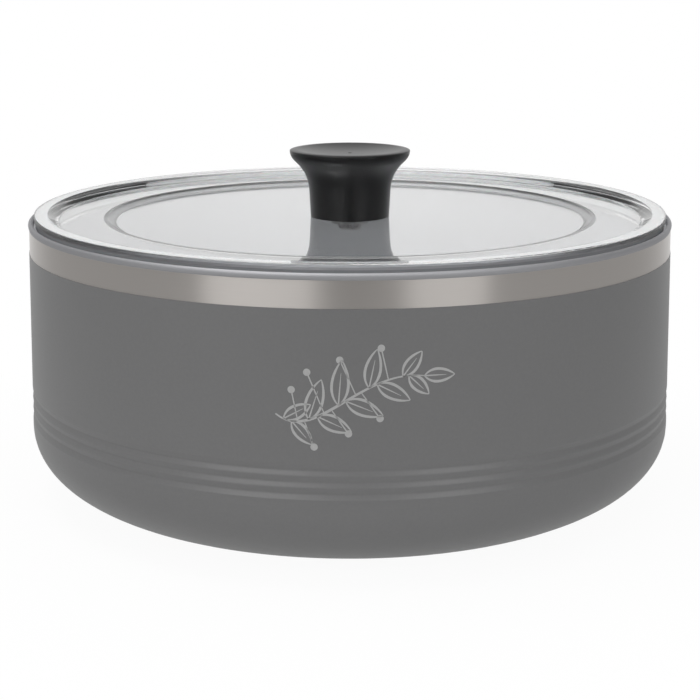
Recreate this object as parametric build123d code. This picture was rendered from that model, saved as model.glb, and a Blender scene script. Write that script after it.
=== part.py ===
"""Insulated round serving casserole: a double-wall steel bowl under vacuum and a clear lift-off lid.

The outer shell and the food liner are drawn from sheet steel and welded at a rolled lip. Between
them are a vacuum, a copper foil and a getter. The lid is one clear moulding with a silicone seal
under its flange, and a knob is screwed to its middle. Nearly all of it is turned about Z.

Millimetres, +Z up. The origin is the middle of the base, on the plane that the bowl stands on.
Outlines are drawn as (radius, height) and revolved about Z.
"""

from build123d import *

import math
import os

# ---- Bowl: outside form -------------------------------------------------------------------
BOWL_H = 110.8  # table to the top of the lip
BAND_R = 126.5  # outside of the bare steel band, just under the lip
WALL_DRAFT = 1.55  # the wall is this much wider where it meets the bottom corner
CORNER_TOP_H = 30.1  # height at which the bottom corner ends and the wall starts
CORNER_FLAT_R = 83.8  # radius at which the bottom corner reaches the flat foot
CORNER_FULLNESS = 0.578  # length of the corner's Bezier handles; 0.552 would be a plain ellipse
SHELL_T = 0.6  # outer sheet
COAT_T = 0.15  # powder coat
COAT_TOP_H = 99.0  # edge of the coat, below the bare band

GROOVES = 3
GROOVE_MID_H = 39.35  # height of the middle of the set
GROOVE_PITCH = 4.15  # also the width of a groove
GROOVE_DEPTH = 0.72
GROOVE_ROUND = 1.2

# ---- Bowl: lip and liner ------------------------------------------------------------------
LIP_R = 0.95  # radius of the rolled lip's section
LIP_PROUD = 0.3  # how far the lip stands out from the band
LEDGE_STEP = 0.75  # middle of the lip down to the ledge that carries the lid's seal
LEDGE_ROUND = 0.6  # bend of the ledge's inner edge, on the vacuum side
WALL_GAP = 3.8  # vacuum space between the walls
BASE_GAP = 6.35  # vacuum space between the pressed recess and the liner's floor
LINER_T = 0.6

# ---- Bowl: base ---------------------------------------------------------------------------
FOOT_PROUD = 0.5  # the non-slip ring stands this far below the coat
CHANNEL_IN_R = 63.0  # pressed channel for the non-slip ring
CHANNEL_W = 8.0
CHANNEL_DEPTH = 1.2
RING_FIT = 0.2  # non-slip ring in its channel, on the radius
RING_ROUND = 0.4
COAT_FOOT_W = 3.0  # the coat ends this far outside the channel
RECESS_R = 57.0  # pressed recess for the base plate
RECESS_DEPTH = 2.8
PRESS_R = 0.4  # smallest pressing radius
PORT_R = 6.0  # pocket round the evacuation hole
PORT_DEPTH = 1.4
PORT_HOLE_R = 1.5
BEAD_FIT = 0.2  # solder glass to the wall of its pocket
BEAD_H = 0.9
PLATE_T = 0.5
PLATE_FIT = 0.3  # base plate in its recess, on the radius
PLATE_FLANGE_H = 1.9
PLATE_EMBOSS_R = 32.0
PLATE_EMBOSS_H = 0.6
PLATE_ROUND = 0.8

# ---- Vacuum space -------------------------------------------------------------------------
FOIL_T = 0.1
FOIL_FIT = 0.05  # foil to liner
FOIL_END_GAP = 3.0  # foil wrap to the liner's corner and to its ledge
GETTER_X = 32.0
GETTER_R = 5.0
GETTER_H = 1.8
HOLDER_T = 0.4
HOLDER_FIT = 0.1
HOLDER_LIP = 1.0  # the holder's rim is turned in over the pellet by this much

# ---- Lid ----------------------------------------------------------------------------------
LID_FIT = 0.4  # flange and seal inside the lip, on the radius
FLANGE_W = 5.3
FLANGE_T = 2.0
PANEL_DROP = 2.7  # flange to panel
PANEL_STEP_W = 4.2  # width of that step
PANEL_T = 2.0
RING_OUT_R = 96.1  # inner ring step, from the panel to the centre
RING_STEP_W = 2.5
RING_DROP = 1.6
CROWN = 0.5  # the centre rises this much from the ring step to the knob
CROWN_R = 25.0
CROWN_ROUND = 2400.0
SKIRT_GAP = 2.9  # skirt to liner: the room for the seal
SKIRT_T = 2.0
BARB_W = 0.7  # snap edge that keeps the seal on the skirt
BARB_H = 1.2
EDGE_ROUND = 0.4  # small moulded radius
STEP_ROUND = 0.8  # larger moulded radius, in the steps
FILM = 0.02  # film of air between the clear lid and what touches it

# ---- Lid seal -----------------------------------------------------------------------------
SEAL_T = 2.5  # ledge to flange
SEAL_INSET = 0.5  # the seal's rim ends this far inside the flange's edge
SEAL_FIT = 0.3  # seal to skirt and to its snap edge
SEAL_CLEAR = 0.3  # tips of the fins to the liner
SLEEVE_T = 1.2
SLEEVE_H = 4.6  # below the ledge
FINS = 2
FIN_T = 0.8
FIN_RISE = 0.3  # tip of a fin above its root

# ---- Knob and its fastening ---------------------------------------------------------------
KNOB_H = 26.7
KNOB_BASE_R = 15.7
KNOB_WAIST_R = 16.2
KNOB_WAIST_H = 9.8
KNOB_TOP_R = 23.9
FLARE_ANGLE = 45.0  # slope of the flare under the rim, from upright
FLARE_LOW = 7.3  # lengths of the flare's two Bezier handles
FLARE_HIGH = 3.35
BRIM_H = 2.6  # the flare's line meets the rim's upright face this far below the top
BRIM_ROUND = 2.6  # the corner between them is rounded from this far down the flare
KNOB_WALL = 2.6
CORE_DRAFT = 0.4  # taper of the cavity and the boss, on the radius
KNOB_CROWN_T = 4.5  # top of the cavity to the dish's floor
RIM_H = 0.55  # height of the rim's rounded top
RIM_W = 2.9  # outside of the rim to the dish
DISH_DEPTH = 1.55
GATE_R = 0.9  # gate mark of the moulding, in the middle of the dish
GATE_DEPTH = 0.4
BOSS_R = 6.2
RIBS = 4
RIB_T = 1.6
RIB_FOOT_H = 3.0  # the ribs end this far above the lid
INSERT_R = 3.6
INSERT_FLANGE_R = 4.4
INSERT_FLANGE_H = 1.0
INSERT_CAP = 1.2  # blind end of the insert
SCREW_R = 2.5
SCREW_FIT = 0.05  # screw in insert, on the radius
SCREW_REACH = 7.8  # how far the screw goes into the insert
SCREW_END_GAP = 1.0
HEAD_R = 4.6
HEAD_H = 2.8
HEAD_ROUND = 1.4
DRIVE_W = 1.1  # cross recess in the head
DRIVE_L = 5.2
DRIVE_DEPTH = 1.5
HOLE_FIT = 0.3  # screw in lid and washers, on the radius
WASHER_R = 7.5
WASHER_T = 1.0
SEALING_T = 1.2

# ---- Radii and heights that follow --------------------------------------------------------
BELLY_R = BAND_R + WALL_DRAFT
LINER_OUT_R = BAND_R - SHELL_T - WALL_GAP
LINER_R = LINER_OUT_R - LINER_T
LIP_OUT_R = BAND_R + LIP_PROUD
LIP_MID_R = LIP_OUT_R - LIP_R
LIP_IN_R = LIP_MID_R - LIP_R
CHANNEL_OUT_R = CHANNEL_IN_R + CHANNEL_W
FLANGE_R = LIP_IN_R - LID_FIT
FLANGE_IN_R = FLANGE_R - FLANGE_W
PANEL_R = FLANGE_IN_R - PANEL_STEP_W
RING_IN_R = RING_OUT_R - RING_STEP_W
SKIRT_R = LINER_R - SKIRT_GAP
SKIRT_IN_R = SKIRT_R - SKIRT_T
SEAL_IN_R = SKIRT_R + SEAL_FIT
SEAL_OUT_R = FLANGE_R - SEAL_INSET
HOLE_R = SCREW_R + HOLE_FIT
DISH_R = KNOB_TOP_R - RIM_W

FOOT_H = FOOT_PROUD + COAT_T  # underside of the steel foot
CHANNEL_H = FOOT_H + CHANNEL_DEPTH
RECESS_H = FOOT_H + RECESS_DEPTH
PORT_H = RECESS_H + PORT_DEPTH
FLOOR_UNDER_H = RECESS_H + SHELL_T + BASE_GAP
FLOOR_H = FLOOR_UNDER_H + LINER_T
LIP_MID_H = BOWL_H - LIP_R
LEDGE_H = LIP_MID_H - LEDGE_STEP
WELD_H = LEDGE_H - LINER_T  # the shell's top edge, under the liner's lip
WALL_LEAN = -WALL_DRAFT / (WELD_H - CORNER_TOP_H)  # dr/dh of the wall
FLANGE_UNDER_H = LEDGE_H + SEAL_T
FLANGE_TOP_H = FLANGE_UNDER_H + FLANGE_T
PANEL_TOP_H = FLANGE_TOP_H - PANEL_DROP
PANEL_UNDER_H = PANEL_TOP_H - PANEL_T
RING_LOW_H = PANEL_TOP_H - RING_DROP
CENTRE_TOP_H = RING_LOW_H + CROWN
CENTRE_UNDER_H = CENTRE_TOP_H - PANEL_T
SEALING_TOP_H = CENTRE_UNDER_H - FILM
SEALING_UNDER_H = SEALING_TOP_H - SEALING_T
WASHER_UNDER_H = SEALING_UNDER_H - WASHER_T
SEAL_TOP_H = FLANGE_UNDER_H - FILM
SLEEVE_UNDER_H = LEDGE_H - SLEEVE_H
BARB_TOP_H = SLEEVE_UNDER_H - SEAL_FIT
SKIRT_UNDER_H = BARB_TOP_H - BARB_H
KNOB_FOOT_H = CENTRE_TOP_H + FILM
KNOB_TOP_H = KNOB_FOOT_H + KNOB_H
DISH_H = KNOB_TOP_H - DISH_DEPTH
CAVITY_H = DISH_H - KNOB_CROWN_T
BORE_TOP_H = KNOB_FOOT_H + SCREW_REACH + SCREW_END_GAP
INSERT_TOP_H = BORE_TOP_H + INSERT_CAP


# ---- Helpers ------------------------------------------------------------------------------
def turned(*edges):
    """The solid that a closed outline of edges makes when it is revolved about Z."""
    return revolve(Plane.XZ * make_face(edges), Axis.Z)


def turned_polygon(corners):
    """A turned solid with straight sides. Each corner is (radius, height, rounding)."""
    points = [(radius, height) for radius, height, _ in corners]
    roundings = [rounding for _, _, rounding in corners]
    return turned(*FilletPolyline(*points, radius=roundings, close=True).edges())


def tube(inner_r, outer_r, low_h, high_h):
    """A plain ring about Z."""
    corners = [(inner_r, low_h), (outer_r, low_h), (outer_r, high_h), (inner_r, high_h)]
    return turned(*Polyline(*corners, close=True).edges())


# ---- Outer shell and coat -----------------------------------------------------------------
def wall_r(height):
    """Outside radius of the steel wall, which leans in a little towards the lip."""
    return BELLY_R + WALL_LEAN * (height - CORNER_TOP_H)


def corner(flat_r, flat_h, side_r, top_h, lean=0.0):
    """The rounded corner from a flat foot or floor to the wall. lean is the wall's dr/dh."""
    out = CORNER_FULLNESS * (side_r - flat_r)
    up = CORNER_FULLNESS * (top_h - flat_h)
    return Bezier(
        (flat_r, flat_h), (flat_r + out, flat_h), (side_r - up * lean, top_h - up), (side_r, top_h)
    )


def grooved_wall(depth, top_h):
    """The wall's line from the corner to top_h, at a depth inside the steel's outer face."""
    corners = [(BELLY_R - depth, CORNER_TOP_H)]
    for number in range(2 * GROOVES + 1):
        height = GROOVE_MID_H + (number - GROOVES) * GROOVE_PITCH / 2
        inset = GROOVE_DEPTH if number % 2 else 0.0
        corners.append((wall_r(height) - depth - inset, height))
    corners.append((wall_r(top_h) - depth, top_h))
    return FilletPolyline(*corners, radius=GROOVE_ROUND).edges()


def foot(depth):
    """The pressed base from the evacuation hole out to the foot, at a depth inside its underside."""
    stations = [
        (PORT_HOLE_R, PORT_H),
        (PORT_R + depth, PORT_H),
        (PORT_R + depth, RECESS_H),
        (RECESS_R + depth, RECESS_H),
        (RECESS_R + depth, FOOT_H),
        (CHANNEL_IN_R - depth, FOOT_H),
        (CHANNEL_IN_R - depth, CHANNEL_H),
        (CHANNEL_OUT_R + depth, CHANNEL_H),
        (CHANNEL_OUT_R + depth, FOOT_H),
        (CORNER_FLAT_R, FOOT_H),
    ]
    lifted = [(radius, height + depth) for radius, height in stations]
    return FilletPolyline(*lifted, radius=PRESS_R).edges()


def outer_shell():
    faces = []
    for depth in (0.0, SHELL_T):
        faces += foot(depth)
        faces.append(corner(CORNER_FLAT_R, FOOT_H + depth, BELLY_R - depth, CORNER_TOP_H, WALL_LEAN))
        faces += grooved_wall(depth, WELD_H)
    hole = Line((PORT_HOLE_R, PORT_H), (PORT_HOLE_R, PORT_H + SHELL_T))
    top = Line((BAND_R, WELD_H), (BAND_R - SHELL_T, WELD_H))
    return turned(*faces, hole, top)


def powder_coat():
    end_r = CHANNEL_OUT_R + COAT_FOOT_W
    faces = []
    for depth in (0.0, -COAT_T):
        faces.append(Line((end_r, FOOT_H + depth), (CORNER_FLAT_R, FOOT_H + depth)))
        faces.append(corner(CORNER_FLAT_R, FOOT_H + depth, BELLY_R - depth, CORNER_TOP_H, WALL_LEAN))
        faces += grooved_wall(depth, COAT_TOP_H)
    inner_end = Line((end_r, FOOT_H), (end_r, FOOT_H - COAT_T))
    edge_r = wall_r(COAT_TOP_H)
    top_edge = Line((edge_r, COAT_TOP_H), (edge_r + COAT_T, COAT_TOP_H))
    return turned(*faces, inner_end, top_edge)


# ---- Liner with its lip -------------------------------------------------------------------
def inner_liner():
    inside = [
        Line((0, FLOOR_H), (CORNER_FLAT_R, FLOOR_H)),
        corner(CORNER_FLAT_R, FLOOR_H, LINER_R, CORNER_TOP_H),
        *FilletPolyline(
            (LINER_R, CORNER_TOP_H),
            (LINER_R, LEDGE_H),
            (LIP_IN_R, LEDGE_H),
            radius=LEDGE_ROUND + LINER_T,
        ).edges(),
        Line((LIP_IN_R, LEDGE_H), (LIP_IN_R, LIP_MID_H)),
    ]
    lip = [
        ThreePointArc((LIP_IN_R, LIP_MID_H), (LIP_MID_R, BOWL_H), (LIP_OUT_R, LIP_MID_H)),
        Spline((LIP_OUT_R, LIP_MID_H), (BAND_R, WELD_H), tangents=[(0, -1), (0, -1)]),
    ]
    outside = [
        *FilletPolyline(
            (BAND_R, WELD_H),
            (LINER_OUT_R, WELD_H),
            (LINER_OUT_R, CORNER_TOP_H),
            radius=LEDGE_ROUND,
        ).edges(),
        corner(CORNER_FLAT_R, FLOOR_UNDER_H, LINER_OUT_R, CORNER_TOP_H),
        Line((CORNER_FLAT_R, FLOOR_UNDER_H), (0, FLOOR_UNDER_H)),
        Line((0, FLOOR_UNDER_H), (0, FLOOR_H)),
    ]
    return turned(*inside, *lip, *outside)


# ---- Base ---------------------------------------------------------------------------------
def vacuum_seal():
    """Solder glass: a domed bead in the pocket, and the plug that it leaves in the hole."""
    bead_r = PORT_R - PRESS_R - BEAD_FIT
    low_h = PORT_H - BEAD_H
    top_h = PORT_H + SHELL_T
    dome = Bezier((0, low_h), (bead_r / 2, low_h), (bead_r, PORT_H - BEAD_H / 2), (bead_r, PORT_H))
    plug = [(bead_r, PORT_H), (PORT_HOLE_R, PORT_H), (PORT_HOLE_R, top_h), (0, top_h), (0, low_h)]
    return turned(dome, *Polyline(*plug).edges())


def base_plate():
    """Pressed pan that covers the seal. Its rim stands on the recess, and its middle is raised."""
    rim_r = RECESS_R - PRESS_R - PLATE_FIT
    low_h = RECESS_H - PLATE_FLANGE_H
    raised_h = low_h + PLATE_EMBOSS_H
    raised_r = PLATE_EMBOSS_R - PLATE_EMBOSS_H
    shift = PLATE_T * math.tan(math.pi / 8)  # the step slopes at 45 degrees
    corners = [
        (0, raised_h, 0),
        (raised_r, raised_h, 0),
        (PLATE_EMBOSS_R, low_h, 0),
        (rim_r, low_h, PLATE_ROUND),
        (rim_r, RECESS_H, 0),
        (rim_r - PLATE_T, RECESS_H, 0),
        (rim_r - PLATE_T, low_h + PLATE_T, PLATE_ROUND - PLATE_T),
        (PLATE_EMBOSS_R + shift, low_h + PLATE_T, 0),
        (raised_r + shift, raised_h + PLATE_T, 0),
        (0, raised_h + PLATE_T, 0),
    ]
    return turned_polygon(corners)


def non_slip_ring():
    inner_r = CHANNEL_IN_R + PRESS_R + RING_FIT
    outer_r = CHANNEL_OUT_R - PRESS_R - RING_FIT
    corners = [
        (inner_r, 0, RING_ROUND),
        (outer_r, 0, RING_ROUND),
        (outer_r, CHANNEL_H, 0),
        (inner_r, CHANNEL_H, 0),
    ]
    return turned_polygon(corners)


# ---- Vacuum space -------------------------------------------------------------------------
def foil_wrap():
    inner_r = LINER_OUT_R + FOIL_FIT
    low_h = CORNER_TOP_H + FOIL_END_GAP
    return tube(inner_r, inner_r + FOIL_T, low_h, WELD_H - FOIL_END_GAP)


def foil_disc():
    top_h = FLOOR_UNDER_H - FOIL_FIT
    return tube(0, CORNER_FLAT_R, top_h - FOIL_T, top_h)


def getter_pellet():
    low_h = RECESS_H + SHELL_T + HOLDER_T
    return Pos(GETTER_X, 0, 0) * tube(0, GETTER_R, low_h, low_h + GETTER_H)


def getter_holder():
    """Cup spot-welded to the shell, with its rim turned in over the pellet."""
    low_h = RECESS_H + SHELL_T
    top_h = low_h + GETTER_H + HOLDER_FIT + 2 * HOLDER_T
    inner_r = GETTER_R + HOLDER_FIT
    outer_r = inner_r + HOLDER_T
    corners = [
        (0, low_h),
        (outer_r, low_h),
        (outer_r, top_h),
        (inner_r - HOLDER_LIP, top_h),
        (inner_r - HOLDER_LIP, top_h - HOLDER_T),
        (inner_r, top_h - HOLDER_T),
        (inner_r, low_h + HOLDER_T),
        (0, low_h + HOLDER_T),
    ]
    return Pos(GETTER_X, 0, 0) * turned(*Polyline(*corners, close=True).edges())


# ---- Lid ----------------------------------------------------------------------------------
def lid_panel():
    """Clear moulding: flange, panel, ring step, centre and the skirt that carries the seal."""
    shift = PANEL_T * math.tan(math.atan2(RING_DROP, RING_STEP_W) / 2)
    corners = [
        (HOLE_R, CENTRE_TOP_H, 0),
        (CROWN_R, CENTRE_TOP_H, CROWN_ROUND),
        (RING_IN_R, RING_LOW_H, STEP_ROUND),
        (RING_OUT_R, PANEL_TOP_H, EDGE_ROUND),
        (PANEL_R, PANEL_TOP_H, STEP_ROUND),
        (FLANGE_IN_R, FLANGE_TOP_H, EDGE_ROUND),
        (FLANGE_R, FLANGE_TOP_H, EDGE_ROUND),
        (FLANGE_R, FLANGE_UNDER_H, 0),
        (SKIRT_R, FLANGE_UNDER_H, 0),
        (SKIRT_R, BARB_TOP_H, 0),
        (SKIRT_R + BARB_W, BARB_TOP_H, 0),
        (SKIRT_R, SKIRT_UNDER_H, 0),
        (SKIRT_IN_R, SKIRT_UNDER_H, 0),
        (SKIRT_IN_R, PANEL_UNDER_H, EDGE_ROUND),
        (RING_OUT_R + shift, PANEL_UNDER_H, STEP_ROUND),
        (RING_IN_R + shift, RING_LOW_H - PANEL_T, STEP_ROUND),
        (CROWN_R, CENTRE_UNDER_H, CROWN_ROUND),
        (HOLE_R, CENTRE_UNDER_H, 0),
    ]
    return turned_polygon(corners)


def lid_seal():
    """Silicone ring: a flat rim between ledge and flange, and a finned sleeve round the skirt."""
    sleeve_r = SEAL_IN_R + SLEEVE_T
    tip_r = LINER_R - SEAL_CLEAR
    pitch = SLEEVE_H / (FINS + 1)
    corners = [(SEAL_IN_R, SLEEVE_UNDER_H), (sleeve_r, SLEEVE_UNDER_H)]
    for number in range(FINS):
        root_h = SLEEVE_UNDER_H + (number + 0.5) * pitch
        tip_h = root_h + FIN_RISE + FIN_T / 2
        corners += [(sleeve_r, root_h), (tip_r, tip_h), (sleeve_r, root_h + FIN_T)]
    corners += [
        (sleeve_r, LEDGE_H),
        (SEAL_OUT_R, LEDGE_H),
        (SEAL_OUT_R, SEAL_TOP_H),
        (SEAL_IN_R, SEAL_TOP_H),
    ]
    return turned(*Polyline(*corners, close=True).edges())


# ---- Knob and its fastening ---------------------------------------------------------------
def insert_space():
    """Outside form of the threaded insert, which the knob is moulded round."""
    flange_top_h = KNOB_FOOT_H + INSERT_FLANGE_H
    flange = tube(0, INSERT_FLANGE_R, KNOB_FOOT_H, flange_top_h)
    return flange + tube(0, INSERT_R, flange_top_h, INSERT_TOP_H)


def knob():
    """Flared knob with a dished top, cored from below, with ribs from its boss to its wall."""
    low_h = KNOB_FOOT_H
    waist = (KNOB_WAIST_R, low_h + KNOB_WAIST_H)
    brim_h = KNOB_TOP_H - BRIM_H
    edge = (KNOB_TOP_R, KNOB_TOP_H - RIM_H)
    taper = (KNOB_WAIST_R - KNOB_BASE_R) / KNOB_WAIST_H
    slope = (math.sin(math.radians(FLARE_ANGLE)), math.cos(math.radians(FLARE_ANGLE)))
    flare_end = (KNOB_TOP_R - slope[0] * BRIM_ROUND, brim_h - slope[1] * BRIM_ROUND)
    core_r = KNOB_BASE_R - KNOB_WALL
    outside = [
        Line((KNOB_BASE_R, low_h), waist),
        Bezier(
            waist,
            (KNOB_WAIST_R + taper * FLARE_LOW, low_h + KNOB_WAIST_H + FLARE_LOW),
            (flare_end[0] - slope[0] * FLARE_HIGH, flare_end[1] - slope[1] * FLARE_HIGH),
            flare_end,
        ),
        Bezier(flare_end, (KNOB_TOP_R, brim_h), edge),
        Bezier(edge, (KNOB_TOP_R, KNOB_TOP_H), (DISH_R, KNOB_TOP_H)),
        Bezier((DISH_R, KNOB_TOP_H), (DISH_R / 2, DISH_H), (GATE_R, DISH_H)),
    ]
    inside = Polyline(
        (GATE_R, DISH_H),
        (0, DISH_H - GATE_DEPTH),
        (0, low_h),
        (BOSS_R - CORE_DRAFT, low_h),
        (BOSS_R, CAVITY_H),
        (core_r - CORE_DRAFT, CAVITY_H),
        (core_r, low_h),
        (KNOB_BASE_R, low_h),
    ).edges()
    body = turned(*outside, *inside)
    rib_h = CAVITY_H - low_h - RIB_FOOT_H
    rib_w = core_r - BOSS_R + CORE_DRAFT
    rib = Pos(core_r - rib_w / 2, 0, CAVITY_H - rib_h / 2) * Box(rib_w, RIB_T, rib_h)
    for number in range(RIBS):
        body += Rot(0, 0, number * 360 / RIBS) * rib
    return body - insert_space()


def knob_insert():
    return insert_space() - tube(0, SCREW_R + SCREW_FIT, KNOB_FOOT_H, BORE_TOP_H)


def knob_screw():
    """Pan-head screw, driven from below through the washers and the lid."""
    low_h = WASHER_UNDER_H - HEAD_H
    head = [(0, low_h, 0), (HEAD_R, low_h, HEAD_ROUND), (HEAD_R, WASHER_UNDER_H, 0)]
    body = turned_polygon([*head, (0, WASHER_UNDER_H, 0)])
    body += tube(0, SCREW_R, WASHER_UNDER_H, KNOB_FOOT_H + SCREW_REACH)
    for angle in (0, 90):
        slot = Rot(0, 0, angle) * Box(DRIVE_L, DRIVE_W, 2 * DRIVE_DEPTH)
        body -= Pos(0, 0, low_h) * slot
    return body


def steel_washer():
    return tube(HOLE_R, WASHER_R, WASHER_UNDER_H, SEALING_UNDER_H)


def sealing_washer():
    return tube(HOLE_R, WASHER_R, SEALING_UNDER_H, SEALING_TOP_H)


# ---- One STEP file for each piece ---------------------------------------------------------
NODES = {
    "outer_shell": outer_shell,
    "powder_coat": powder_coat,
    "inner_liner": inner_liner,
    "vacuum_seal": vacuum_seal,
    "base_plate": base_plate,
    "non_slip_ring": non_slip_ring,
    "foil_wrap": foil_wrap,
    "foil_disc": foil_disc,
    "getter_pellet": getter_pellet,
    "getter_holder": getter_holder,
    "lid_panel": lid_panel,
    "lid_seal": lid_seal,
    "knob": knob,
    "knob_insert": knob_insert,
    "knob_screw": knob_screw,
    "steel_washer": steel_washer,
    "sealing_washer": sealing_washer,
}

os.makedirs("parts", exist_ok=True)
for name, build in NODES.items():
    export_step(build(), f"parts/{name}.step")
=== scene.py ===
import math

import bpy
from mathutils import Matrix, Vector


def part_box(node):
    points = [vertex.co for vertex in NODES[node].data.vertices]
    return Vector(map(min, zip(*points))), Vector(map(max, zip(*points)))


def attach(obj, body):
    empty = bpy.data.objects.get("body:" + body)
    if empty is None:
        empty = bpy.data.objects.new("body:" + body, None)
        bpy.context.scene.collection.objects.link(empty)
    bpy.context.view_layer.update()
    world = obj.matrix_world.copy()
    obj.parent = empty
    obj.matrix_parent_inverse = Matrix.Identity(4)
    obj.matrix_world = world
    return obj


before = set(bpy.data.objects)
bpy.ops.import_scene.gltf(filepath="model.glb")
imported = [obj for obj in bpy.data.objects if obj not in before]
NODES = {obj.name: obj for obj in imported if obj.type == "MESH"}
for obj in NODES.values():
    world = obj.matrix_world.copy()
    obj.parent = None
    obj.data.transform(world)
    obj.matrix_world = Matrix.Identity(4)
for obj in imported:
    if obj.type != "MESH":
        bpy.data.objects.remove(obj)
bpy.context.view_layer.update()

MM = 0.001
EDGE_DIGITS = 5  # of a length in metres, so to 0.01 mm
WHITE = (1.0, 1.0, 1.0, 1.0)


def outer_edge(node):
    """Outside radius and top height of a round node. Its facets end a hair inside them."""
    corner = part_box(node)[1]
    return round(corner.x, EDGE_DIGITS), round(corner.z, EDGE_DIGITS)


LID_R, LID_H = outer_edge("lid_panel")
SEAL_R, _ = outer_edge("lid_seal")
LIP_R, LIP_H = outer_edge("inner_liner")


# ---- Camera ---------------------------------------------------------------------------------
CAMERA_DISTANCE = 0.6803
CAMERA_TILT = math.radians(13.72)
CAMERA_SIDE = 0.00005  # to the right of the object's middle
TARGET_H = 0.0543  # the height on the axis that it looks at
FOCAL_PX = 1664.0
FRAME_PX = 700.0
SENSOR_MM = 36.0


def make_camera():
    data = bpy.data.cameras.new("camera")
    data.sensor_width = SENSOR_MM
    data.lens = FOCAL_PX / FRAME_PX * SENSOR_MM
    data.clip_start = 0.01
    data.clip_end = 50.0
    camera = bpy.data.objects.new("camera", data)
    ahead = CAMERA_DISTANCE * math.cos(CAMERA_TILT)
    above = CAMERA_DISTANCE * math.sin(CAMERA_TILT)
    camera.location = (CAMERA_SIDE, -ahead, TARGET_H + above)
    camera.rotation_euler = (math.pi / 2 - CAMERA_TILT, 0, 0)
    bpy.context.scene.collection.objects.link(camera)
    bpy.context.scene.camera = camera


# ---- Node helpers ---------------------------------------------------------------------------
MIX_FACTOR, MIX_A, MIX_B = 0, 6, 7  # the Mix node's sockets for colours
MIX_RESULT = 2


class Tree:
    """A node tree with short calls: t(type, inputs, attributes...) adds a node."""

    def __init__(self, tree):
        self.tree = tree
        tree.nodes.clear()

    def __call__(self, kind, inputs=None, **attributes):
        node = self.tree.nodes.new("ShaderNode" + kind)
        for key, value in attributes.items():
            setattr(node, key, value)
        for key, value in (inputs or {}).items():
            socket = node.inputs[key]
            if isinstance(value, bpy.types.NodeSocket):
                self.tree.links.new(value, socket)
            elif isinstance(value, bpy.types.Node):
                self.tree.links.new(value.outputs[0], socket)
            else:
                socket.default_value = value
        return node

    def place(self):
        """The point in the object's own frame, which at rest is the shared frame."""
        return self("TexCoord").outputs["Object"]

    def math(self, operation, *values):
        return self("Math", dict(enumerate(values)), operation=operation).outputs[0]

    def range(self, value, low, high):
        return self.math("MULTIPLY_ADD", value, high - low, low)

    def noise(self, vector, scale, detail=2.0, rough=0.5):
        inputs = {"Vector": vector, "Scale": scale, "Detail": detail, "Roughness": rough}
        return self("TexNoise", inputs).outputs["Fac"]

    def mix(self, factor, a, b):
        """A colour between a and b, each a socket or three numbers."""
        node = self("Mix", data_type="RGBA")
        self.tree.links.new(factor, node.inputs[MIX_FACTOR])
        for number, value in ((MIX_A, a), (MIX_B, b)):
            if isinstance(value, bpy.types.NodeSocket):
                self.tree.links.new(value, node.inputs[number])
            else:
                node.inputs[number].default_value = (*value, 1)
        return node.outputs[MIX_RESULT]

    def ramp(self, value, *stops):
        """Greys by value; each stop is (position, grey)."""
        node = self("ValToRGB", {"Fac": value})
        elements = node.color_ramp.elements
        while len(elements) < len(stops):
            elements.new(0.5)
        for element, (position, grey) in zip(elements, stops):
            element.position = position
            element.color = (grey, grey, grey, 1)
        return node.outputs[0]


def material(name):
    made = bpy.data.materials.new(name)
    made.use_nodes = True
    return made, Tree(made.node_tree)


def surface(t, **inputs):
    """The main shader, joined to the output. An input's spaces are written as underscores."""
    shader = t("BsdfPrincipled", {key.replace("_", " "): value for key, value in inputs.items()})
    t("OutputMaterial", {"Surface": shader})


def bump(t, height, strength, distance):
    return t("Bump", {"Height": height, "Strength": strength, "Distance": distance}).outputs[0]


def around(t, position):
    """(angle about Z, radius, height) of a position. The angle is 0 in front."""
    x, y, z = t("SeparateXYZ", {0: position}).outputs
    angle = t.math("ARCTAN2", x, t.math("MULTIPLY", y, -1.0))
    radius = t.math("SQRT", t.math("ADD", t.math("MULTIPLY", x, x), t.math("MULTIPLY", y, y)))
    return angle, radius, z


def scaled(colour, share):
    return tuple(channel * share for channel in colour)


# ---- Materials ------------------------------------------------------------------------------
FLANGE_SIDE_R = LID_R - 0.2 * MM  # the flange's upright side is outside this radius
FLANGE_SIDE_SHADE_H = LID_H - 0.4 * MM  # below this height the side is painted grey: painted shade on the clear flange's side
FLANGE_GAP_SHADE_H = LID_H - 1.1 * MM  # and below this one it is painted darker still: painted shade in the gap under the flange
RING_STEP_IN_R = 92.8 * MM
RING_STEP_OUT_R = 97.5 * MM
SEAL_SIDE_R = SEAL_R - 0.2 * MM  # the rim's upright side is outside this radius
SEAL_SLEEVE_R = SEAL_R - 4.9 * MM  # the sleeve is inside this one
LAMP_TINT = (0.93, 0.94, 0.94, 1.0)  # what the clear lid lets through of the lamps' light


def brushing(t, along, across):
    """Noise in long streaks round the axis."""
    angle, radius, height = around(t, t.place())
    run = t("CombineXYZ", {0: t.math("MULTIPLY", t.math("SINE", angle), along),
                           1: t.math("MULTIPLY", t.math("COSINE", angle), along),
                           2: t.math("MULTIPLY", t.math("ADD", height, radius), across)})
    return t.noise(run.outputs[0], scale=1.0, detail=3.0, rough=0.6)


def brushed_steel(name, colour, rough, streak, anisotropy, metallic=1.0):
    made, t = material(name)
    lines = brushing(t, along=5.0, across=9000.0)
    clouds = t.noise(t.place(), scale=40.0, detail=3.0)
    base = t.mix(lines, scaled(colour, 1 - streak), colour)
    base = t.mix(t.range(clouds, 0.0, 0.25), base, scaled(colour, 0.9))
    tangent = t("Tangent", direction_type="RADIAL", axis="Z").outputs[0]
    surface(t, Base_Color=base, Metallic=metallic, Roughness=t.range(lines, rough - 0.04, rough + 0.06),
            Anisotropic=anisotropy, Anisotropic_Rotation=0.25, Tangent=tangent,
            Normal=bump(t, lines, strength=0.06, distance=0.02 * MM))
    return made


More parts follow.
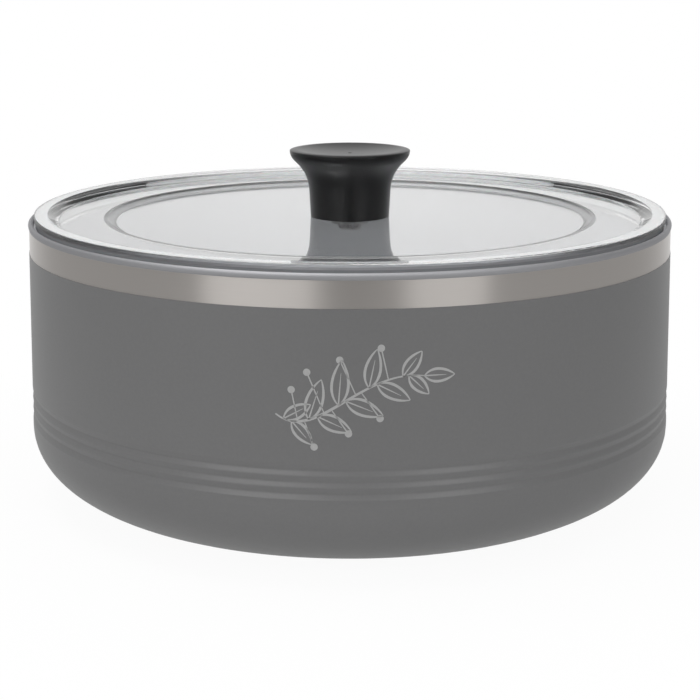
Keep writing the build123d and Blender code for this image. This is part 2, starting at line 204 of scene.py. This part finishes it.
def powder_coat(name, colour):
    made, t = material(name)
    grain = t.noise(t.place(), scale=2600.0, detail=3.0, rough=0.6)
    speck = t.noise(t.place(), scale=900.0)
    clouds = t.noise(t.place(), scale=25.0)
    shade = t.math("ADD", t.range(grain, -0.10, 0.10), t.range(clouds, -0.04, 0.04))
    share = t.math("ADD", t.range(speck, 0.0, 0.35), shade)
    base = t.mix(share, scaled(colour, 0.95), scaled(colour, 1.3))
    surface(t, Base_Color=base, Roughness=t.range(grain, 0.35, 0.41), Specular_IOR_Level=0.8,
            Sheen_Weight=0.04, Sheen_Roughness=0.35,
            Normal=bump(t, grain, strength=0.2, distance=0.04 * MM))
    return made


def clear_plastic(name):
    """Clear lid: the flange's side is matt and painted grey, darker still at its foot: painted shade.
    The ring step is matt.
    """
    made, t = material(name)
    flow = t.noise(t.place(), scale=9.0)
    _, radius, height = around(t, t.place())
    side = t.math("GREATER_THAN", radius, FLANGE_SIDE_R)
    step = t.math("MULTIPLY", t.math("GREATER_THAN", radius, RING_STEP_IN_R),
                  t.math("LESS_THAN", radius, RING_STEP_OUT_R))
    side_shade = t.math("MULTIPLY", side, t.math("LESS_THAN", height, FLANGE_SIDE_SHADE_H))
    gap_shade = t.math("MULTIPLY", side, t.math("LESS_THAN", height, FLANGE_GAP_SHADE_H))
    base = t.mix(flow, (0.97, 0.975, 0.97), (0.985, 0.985, 0.985))
    # painted shade: the clear flange's side is greyed, as its edge looks in the light
    base = t.mix(side_shade, base, (0.42, 0.42, 0.44))
    # painted shade: the foot of the flange's side is darkest, for the shade in the gap under it
    base = t.mix(gap_shade, base, (0.16, 0.16, 0.17))
    polish = t.range(t.noise(t.place(), scale=60.0), 0.0, 0.03)
    rough = t.math("MULTIPLY_ADD", step, 0.40, t.math("MULTIPLY_ADD", side, 0.35, polish))
    shader = t("BsdfPrincipled", {"Base Color": base, "Roughness": rough, "IOR": 1.49,
                                  "Transmission Weight": 1.0,
                                  "Normal": bump(t, flow, strength=0.02, distance=0.4 * MM)})
    open_to_lamps = t("BsdfTransparent", {"Color": LAMP_TINT})
    to_lamp = t("LightPath").outputs["Is Shadow Ray"]
    t("OutputMaterial", {"Surface": t("MixShader", {0: to_lamp, 1: shader, 2: open_to_lamps})})
    return made


def silicone(name):
    """Milky seal: the rim grey, the sleeve painted pale (painted light inside the lid) and the rim's
    side darkest (painted shade in the gap under the lid's flange).
    """
    made, t = material(name)
    cloud = t.noise(t.place(), scale=120.0, detail=3.0)
    _, radius, _ = around(t, t.place())
    rim = t.mix(cloud, (0.40, 0.41, 0.42), (0.47, 0.48, 0.49))
    # painted light: the sleeve is made far paler than the rim, to light it where it sits inside the lid
    sleeve_lit = t.mix(cloud, (0.84, 0.85, 0.86), (0.92, 0.93, 0.94))
    # painted shade: the rim's side is darkest, for the shade in the gap under the lid's flange
    side = t.mix(cloud, (0.21, 0.215, 0.225), (0.26, 0.265, 0.275))
    base = t.mix(t.math("LESS_THAN", radius, SEAL_SLEEVE_R), rim, sleeve_lit)
    base = t.mix(t.math("GREATER_THAN", radius, SEAL_SIDE_R), base, side)
    skin = t.noise(t.place(), scale=1500.0)
    surface(t, Base_Color=base, Roughness=t.range(cloud, 0.4, 0.55), Subsurface_Weight=0.1,
            Subsurface_Scale=1 * MM, Normal=bump(t, skin, strength=0.05, distance=0.03 * MM))
    return made


def plastic(name, colour, rough, gloss=0.5, grain_scale=1800.0, relief=0.3):
    made, t = material(name)
    grain = t.noise(t.place(), grain_scale, detail=3.0, rough=0.6)
    cloud = t.noise(t.place(), scale=80.0)
    base = t.mix(cloud, scaled(colour, 0.85), scaled(colour, 1.15))
    surface(t, Base_Color=base, Roughness=t.range(grain, rough - 0.05, rough + 0.05),
            Specular_IOR_Level=gloss, Normal=bump(t, grain, relief, distance=0.04 * MM))
    return made


def metal(name, colour, rough, grain_scale=700.0):
    made, t = material(name)
    grain = t.noise(t.place(), grain_scale, detail=3.0, rough=0.6)
    base = t.mix(grain, scaled(colour, 0.86), colour)
    surface(t, Base_Color=base, Metallic=1.0, Roughness=t.range(grain, rough - 0.06, rough + 0.08),
            Normal=bump(t, grain, strength=0.1, distance=0.04 * MM))
    return made


def etched_steel(name):
    made, t = material(name)
    grain = t.noise(t.place(), scale=1500.0, detail=3.0, rough=0.6)
    base = t.mix(grain, (0.40, 0.40, 0.40), (0.52, 0.52, 0.515))
    surface(t, Base_Color=base, Metallic=0.35, Roughness=t.range(grain, 0.40, 0.52),
            Normal=bump(t, grain, strength=0.1, distance=0.02 * MM))
    return made


def dress():
    looks = {
        "outer_shell": brushed_steel("steel_outside", (0.66, 0.625, 0.595), rough=0.36, streak=0.10,
                                     anisotropy=1.0),
        # the inside steel is paler than the outside and partly not metallic: its own colour, and partly
        # painted light inside the bowl
        "inner_liner": brushed_steel("steel_inside", (0.72, 0.725, 0.745), rough=0.42, streak=0.08,
                                     anisotropy=0.4, metallic=0.65),
        "powder_coat": powder_coat("coat", (0.145, 0.145, 0.146)),
        "lid_panel": clear_plastic("clear"),
        "lid_seal": silicone("silicone"),
        "knob": plastic("knob_black", (0.003, 0.003, 0.0032), rough=0.31, gloss=0.38,
                        grain_scale=3500.0, relief=0.12),
        "non_slip_ring": plastic("rubber_black", (0.02, 0.02, 0.02), rough=0.7),
        "sealing_washer": plastic("rubber_grey", (0.20, 0.20, 0.21), rough=0.6),
        "base_plate": metal("steel_plain", (0.58, 0.565, 0.55), rough=0.36),
        "knob_screw": metal("steel_screw", (0.62, 0.61, 0.60), rough=0.28),
        "steel_washer": metal("steel_washer_look", (0.80, 0.79, 0.78), rough=0.34),
        "getter_holder": metal("steel_getter", (0.55, 0.54, 0.53), rough=0.4),
        "knob_insert": metal("brass", (0.75, 0.56, 0.26), rough=0.3),
        "foil_wrap": metal("copper_foil", (0.83, 0.44, 0.29), rough=0.22, grain_scale=300.0),
        "foil_disc": metal("copper_foil_2", (0.83, 0.44, 0.29), rough=0.22, grain_scale=300.0),
        "getter_pellet": metal("getter", (0.16, 0.16, 0.165), rough=0.7, grain_scale=2500.0),
        "vacuum_seal": plastic("solder_glass", (0.06, 0.07, 0.065), rough=0.12, grain_scale=900.0,
                               relief=0.05),
    }
    for node, look in looks.items():
        mesh = NODES[node].data
        mesh.materials.clear()
        mesh.materials.append(look)


def add_piece(name, vertices, faces, look):
    mesh = bpy.data.meshes.new(name)
    mesh.from_pydata(vertices, [], faces)
    mesh.materials.append(look)
    piece = bpy.data.objects.new(name, mesh)
    bpy.context.scene.collection.objects.link(piece)
    return piece


# ---- Rolled lip: a ring drawn close over the liner's own, with even facets all round ---------
# Places on its section are (out, up) in mm, from the lip's outside radius and its top.
ROLL_MIDDLE = (-0.965, -0.95)
ROLL_HALF = (0.975, 0.98)  # half the roll's width and half its height
ROLL_STEPS = 20
LIP_OUTSIDE = ((0.0, -1.2), (-0.03, -1.5), (-0.11, -1.75), (-0.2, -2.0), (-0.26, -2.25))
LIP_UNDERSIDE = ((-0.8, -1.9), (-1.5, -1.6))
LIP_INSIDE = ((-1.94, -1.66), (-1.94, -1.3))
LIP_TURNS = 288


def lip_section():
    """The ring's outline as (radius, height): over the roll, down its outside and back under it."""
    outline = []
    for step in range(ROLL_STEPS + 1):
        turn = math.pi * step / ROLL_STEPS
        outline.append((ROLL_MIDDLE[0] - ROLL_HALF[0] * math.cos(turn),
                        ROLL_MIDDLE[1] + ROLL_HALF[1] * math.sin(turn)))
    outline += [*LIP_OUTSIDE, *LIP_UNDERSIDE, *LIP_INSIDE]
    return [(LIP_R + out * MM, LIP_H + up * MM) for out, up in outline]


def make_lip():
    section = lip_section()
    count = len(section)
    vertices, faces = [], []
    for turn in range(LIP_TURNS):
        angle = 2 * math.pi * turn / LIP_TURNS
        vertices += [(r * math.sin(angle), -r * math.cos(angle), height) for r, height in section]
        here, there = turn * count, (turn + 1) % LIP_TURNS * count
        for k in range(count):
            after = (k + 1) % count
            faces.append((here + k, there + k, there + after, here + after))
    look = brushed_steel("steel_lip", (0.53, 0.53, 0.55), rough=0.62, streak=0.08, anisotropy=0.4)
    lip = add_piece("rolled_lip", vertices, faces, look)
    lip.data.polygons.foreach_set("use_smooth", [True] * len(faces))
    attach(lip, "bowl")


# ---- Decoration: a leafy sprig etched on the coat -------------------------------------------
# The design is in the flat, in mm, as (right, up). A pen is the width of its stroke from start to end.
STEM = ((-30.5, -7.5), (-17, -18), (-2, 9), (19.5, 5.5))
STEM_PEN = (0.5, 1.0, 0.9, 0.7, 0.35)
STEM_STEPS = 60
LEAVES = (  # place along the stem, angle to it, length, width
    (0.07, 50, 10.5, 5.0), (0.13, -44, 10.5, 4.8), (0.27, 54, 14.5, 6.2), (0.33, -50, 12.5, 5.6),
    (0.48, 54, 15.5, 6.4), (0.54, -54, 13.5, 5.8), (0.69, 52, 13.5, 5.8), (0.74, -50, 12.5, 5.4),
    (0.89, 46, 10.5, 4.8), (0.92, -46, 9.5, 4.6), (1.0, 0, 10.5, 5.0),
)
LEAF_BULGE = (0.3, 0.78)  # a side's two control points: share of the length, and of the width
LEAF_TAPER = (0.8, 0.34)
LEAF_PEN = (0.4, 0.95, 0.85, 0.3)
LEAF_STEPS = 22
VEIN = (0.0, 0.3, 0.5, 0.72)  # shares of the leaf's length
VEIN_PEN = (0.5, 0.4, 0.15)
VEIN_STEPS = 10
BERRIES = (  # place along the stem, angle to it, length of the stalk
    (0.18, 96, 10.0), (0.24, -84, 8.5), (0.39, 84, 14.0), (0.44, -86, 9.0), (0.60, 84, 12.0),
    (0.64, -84, 10.0), (0.80, 86, 10.0),
)
BERRY_R = 1.25
BERRY_GAP = 1.1  # from the stalk's end to the berry's middle
BERRY_SIDES = 20
STALK_BEND = 2.0
STALK_PEN = (0.35, 0.45, 0.45)
STALK_STEPS = 10

WALL_R = 127.2 * MM  # the wall's radius behind the sprig
SPRIG_RIGHT = 5.5 * MM  # the design's origin: distance along the wall from its front, and height
SPRIG_H = 70.5 * MM
ETCH_LIFT = 0.02 * MM
RAY_START_R = 0.2  # well outside the wall


def bezier(points, count):
    line = []
    for step in range(count + 1):
        share = step / count
        left = 1 - share
        weights = (left ** 3, 3 * share * left ** 2, 3 * share * share * left, share ** 3)
        line.append(tuple(sum(w * p[k] for w, p in zip(weights, points)) for k in (0, 1)))
    return line


def stroke(line, pen):
    """A pen stroke along a line, as quads."""
    faces = []
    previous = None
    for number, (u, v) in enumerate(line):
        before, after = line[max(number - 1, 0)], line[min(number + 1, len(line) - 1)]
        along = Vector((after[0] - before[0], after[1] - before[1])).normalized()
        spot = number / (len(line) - 1) * (len(pen) - 1)
        low = min(int(spot), len(pen) - 2)
        half = (pen[low] + (pen[low + 1] - pen[low]) * (spot - low)) / 2
        pair = ((u + along.y * half, v - along.x * half), (u - along.y * half, v + along.x * half))
        if previous:
            faces.append((previous[0], pair[0], pair[1], previous[1]))
        previous = pair
    return faces


def leaf(base, ahead, length, width):
    """A leaf's two sides and its vein, as faces."""
    aside = Vector((-ahead.y, ahead.x))
    faces = []
    for side in (-1, 1):
        bulge, taper = (base + ahead * length * far + aside * side * width * out
                        for far, out in (LEAF_BULGE, LEAF_TAPER))
        faces += stroke(bezier((base, bulge, taper, base + ahead * length), LEAF_STEPS), LEAF_PEN)
    vein = bezier([base + ahead * length * share for share in VEIN], VEIN_STEPS)
    return faces + stroke(vein, VEIN_PEN)


def berry(base, ahead, length):
    """A round berry on its stalk, as faces."""
    end = base + ahead * length
    stalk = bezier((base, base + ahead * STALK_BEND, end - ahead * STALK_BEND, end), STALK_STEPS)
    middle = end + ahead * BERRY_GAP
    ring = []
    for step in range(BERRY_SIDES):
        angle = 2 * math.pi * step / BERRY_SIDES
        ring.append(middle + Vector((math.cos(angle), math.sin(angle))) * BERRY_R)
    disc = [(middle, ring[k], ring[(k + 1) % BERRY_SIDES]) for k in range(BERRY_SIDES)]
    return stroke(stalk, STALK_PEN) + disc


def sprig():
    """The whole design, as faces."""
    stem = bezier(STEM, STEM_STEPS)
    faces = stroke(stem, STEM_PEN)

    def start(share, angle):
        """A point of the stem, and the direction at an angle to it, in degrees."""
        number = round(share * STEM_STEPS)
        (u0, v0), (u1, v1) = stem[number], stem[min(number + 1, STEM_STEPS)]
        turn = math.atan2(v1 - v0, u1 - u0) + math.radians(angle)
        return Vector(stem[number]), Vector((math.cos(turn), math.sin(turn)))

    for share, angle, length, width in LEAVES:
        faces += leaf(*start(share, angle), length, width)
    for share, angle, length in BERRIES:
        faces += berry(*start(share, angle), length)
    return faces


def make_sprig():
    """Lays the flat design on the coat, each point where a ray to the axis meets it."""
    bpy.context.view_layer.update()
    coat = NODES["powder_coat"]
    vertices, faces = [], []
    for face in sprig():
        numbers = []
        for u, v in face:
            angle = (SPRIG_RIGHT + u * MM) / WALL_R
            out = Vector((math.sin(angle), -math.cos(angle), 0))
            start = out * RAY_START_R + Vector((0, 0, SPRIG_H + v * MM))
            _, spot, _, _ = coat.ray_cast(start, -out)
            numbers.append(len(vertices))
            vertices.append(spot + out * ETCH_LIFT)
        faces.append(numbers)
    etched = add_piece("etched_sprig", vertices, faces, etched_steel("etched_steel"))
    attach(etched, "bowl")


# ---- Stage ----------------------------------------------------------------------------------
SURROUND = (  # share of the way round from front to back, and the studio's brightness there
    (0.00, 0.16), (0.06, 0.26), (0.22, 0.40), (0.30, 0.45), (0.65, 0.46), (0.76, 0.62),
    (0.86, 0.90), (1.00, 1.0),
)
WALL_TOP = ((0.27, 0.0), (0.36, 1.0))  # by the sine of the elevation: where its walls end,
CEILING_EDGE = ((0.70, 0.0), (0.87, 1.0))  # and where the ceiling begins
ABOVE_WALLS = (0.32, 0.32, 0.32)
CEILING = (0.85, 0.85, 0.85)
FLOOR_REACH = 4.0
FLOOR_SHADES = ((0.88, 0.88, 0.88), (0.9, 0.9, 0.9))
WHITE_FLOOR = ((0.12, 0.95), (0.24, 1.0))  # by distance from the axis: its share of plain white,
MIRROR_FLOOR = ((0.2, 0.0), (0.5, 1.0))  # and in reflections, of the studio's own brightness
NEAR_MIRROR = (0.6, 0.6, 0.6)  # what reflections meet of the floor near the object
LAMP_DISTANCE = 1.3
LAMP_AIM = Vector((0, 0, 0.08))
SOFTBOXES = (  # name, azimuth, elevation, width, height, radiance
    ("front_left", -31, 27, 0.84, 0.75, 1.75),
    ("front_right", 33, 27, 0.60, 0.75, 1.75),
    ("front_fill", 3, 36, 0.85, 0.36, 0.45),
    ("overhead", -80, 72, 0.7, 0.5, 4.0),
)


def surround(t, place):
    """Brightness of the studio at the level of the horizon: darker in front, white behind."""
    angle, _, _ = around(t, place)
    return t.ramp(t.math("DIVIDE", t.math("ABSOLUTE", angle), math.pi), *SURROUND)


def make_world():
    """White to the camera and through the clear lid; reflections meet the grey studio."""
    world = bpy.data.worlds.new("studio")
    world.use_nodes = True
    bpy.context.scene.world = world
    t = Tree(world.node_tree)
    path = t("LightPath")
    place = t("TexCoord").outputs["Generated"]
    height = t("SeparateXYZ", {0: place}).outputs["Z"]
    walls = t.mix(t.ramp(height, *WALL_TOP), surround(t, place), ABOVE_WALLS)
    studio = t.mix(t.ramp(height, *CEILING_EDGE), walls, CEILING)
    room = t("Background", {"Color": studio, "Strength": 1.0})
    white = t("Background", {"Color": WHITE, "Strength": 1.0})
    seen = t.math("MAXIMUM", path.outputs["Is Camera Ray"], path.outputs["Is Transmission Ray"])
    t("OutputWorld", {"Surface": t("MixShader", {0: seen, 1: room, 2: white})})


def floor_paper(name):
    """Pale paper, whitest away from the object. A little of it shows near by, and keeps the shadow."""
    made, t = material(name)
    path = t("LightPath")
    place = t("NewGeometry").outputs["Position"]
    _, radius, _ = around(t, place)
    shade = t.mix(t.noise(place, scale=30.0), *FLOOR_SHADES)
    paper = t("BsdfDiffuse", {"Color": shade})
    white = t("Emission", {"Color": WHITE, "Strength": 1.0})
    blank = t.math("MULTIPLY", path.outputs["Is Camera Ray"], t.ramp(radius, *WHITE_FLOOR))
    mirror = t.mix(t.ramp(radius, *MIRROR_FLOOR), NEAR_MIRROR, surround(t, place))
    mirrored = t("Emission", {"Color": mirror, "Strength": 1.0})
    seen = t("MixShader", {0: blank, 1: paper, 2: white})
    glossy = t("MixShader", {0: path.outputs["Is Glossy Ray"], 1: seen, 2: mirrored})
    through = t("MixShader", {0: path.outputs["Is Transmission Ray"], 1: glossy, 2: white})
    t("OutputMaterial", {"Surface": through})
    return made


def make_floor():
    corners = [(x * FLOOR_REACH, y * FLOOR_REACH, 0) for x, y in ((-1, -1), (1, -1), (1, 1), (-1, 1))]
    add_piece("floor", corners, [(0, 1, 2, 3)], floor_paper("floor_white"))


def softbox(name, azimuth, elevation, width, height, radiance):
    """A flat lamp that looks at the object. Azimuth 0 is the camera's side and 90 is +X."""
    turn, rise = math.radians(azimuth), math.radians(elevation)
    out = Vector((math.sin(turn) * math.cos(rise), -math.cos(turn) * math.cos(rise), math.sin(rise)))
    data = bpy.data.lights.new(name, "AREA")
    data.shape = "RECTANGLE"
    data.size = width
    data.size_y = height
    data.energy = radiance * math.pi * width * height
    lamp = bpy.data.objects.new(name, data)
    lamp.location = LAMP_AIM + out * LAMP_DISTANCE
    lamp.rotation_euler = out.to_track_quat("Z", "Y").to_euler()
    bpy.context.scene.collection.objects.link(lamp)


make_camera()
dress()
make_lip()
make_sprig()
make_world()
make_floor()
for box in SOFTBOXES:
    softbox(*box)
bpy.context.scene.view_settings.view_transform = "Standard"
